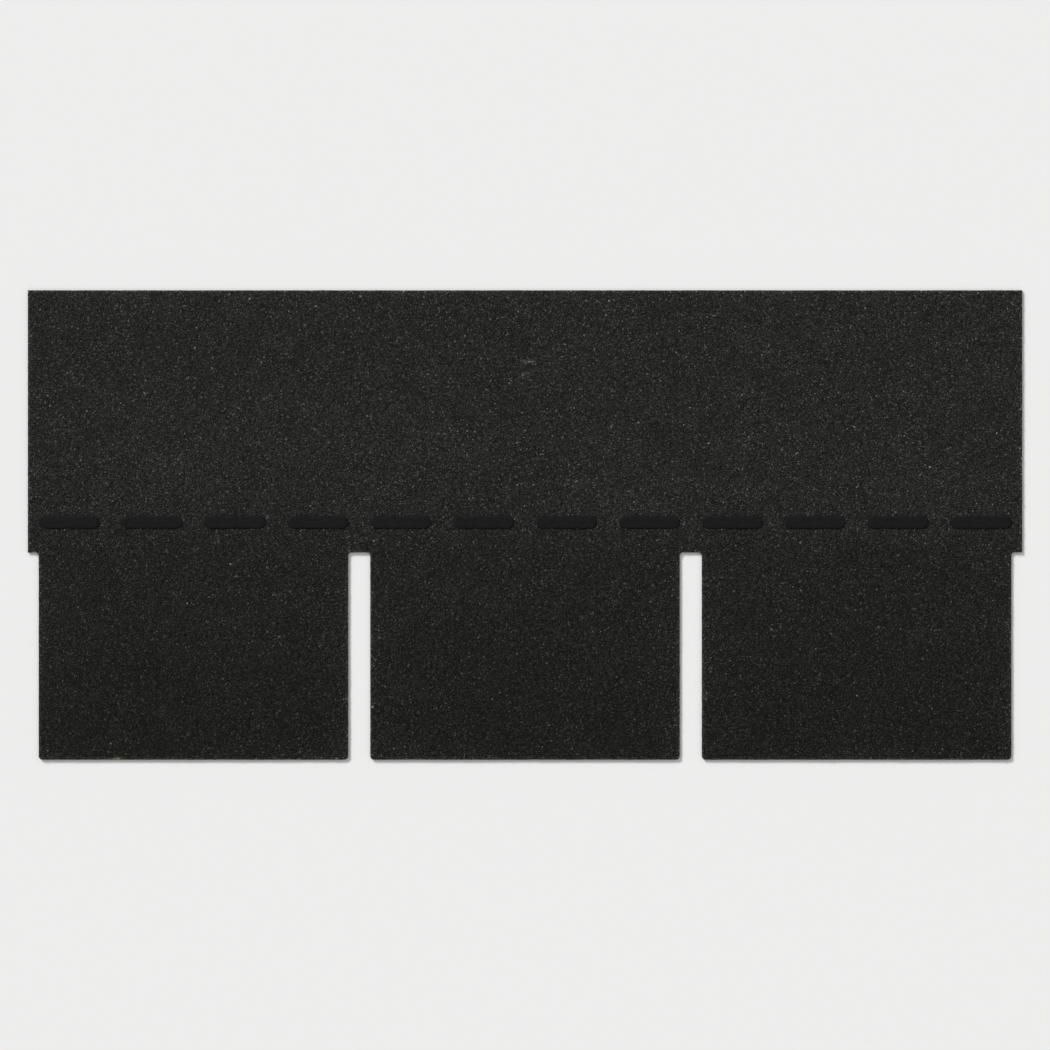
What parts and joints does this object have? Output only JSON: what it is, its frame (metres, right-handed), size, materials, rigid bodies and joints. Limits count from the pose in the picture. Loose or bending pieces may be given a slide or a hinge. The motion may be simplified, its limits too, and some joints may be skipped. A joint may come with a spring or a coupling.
{
  "type": "three-tab asphalt shingle",
  "caption": "Flat asphalt strip shingle with tabs between open slots, a charcoal mineral granule face and a line of self-seal dashes.",
  "frame": {"origin": "middle of the strip's footprint, on the surface that it lies on", "axes": "+X along the strip, +Y from the butt edge of the tabs to the top edge, +Z out of the granule face"},
  "size_m": [0.9144, 0.4318, 0.004],
  "materials": {
    "granule_sheet": "matte",
    "seal_adhesive": "satin",
    "release_film": "gloss"
  },
  "bodies": {
    "root": {"shingle_body": "granule_sheet", "release_film": "release_film", "seal_dash_01": "seal_adhesive", "seal_dash_02": "seal_adhesive", "seal_dash_03": "seal_adhesive", "seal_dash_04": "seal_adhesive", "seal_dash_05": "seal_adhesive", "seal_dash_06": "seal_adhesive", "seal_dash_07": "seal_adhesive", "seal_dash_08": "seal_adhesive", "seal_dash_09": "seal_adhesive", "seal_dash_10": "seal_adhesive", "seal_dash_11": "seal_adhesive", "seal_dash_12": "seal_adhesive"}
  },
  "joints": []
}
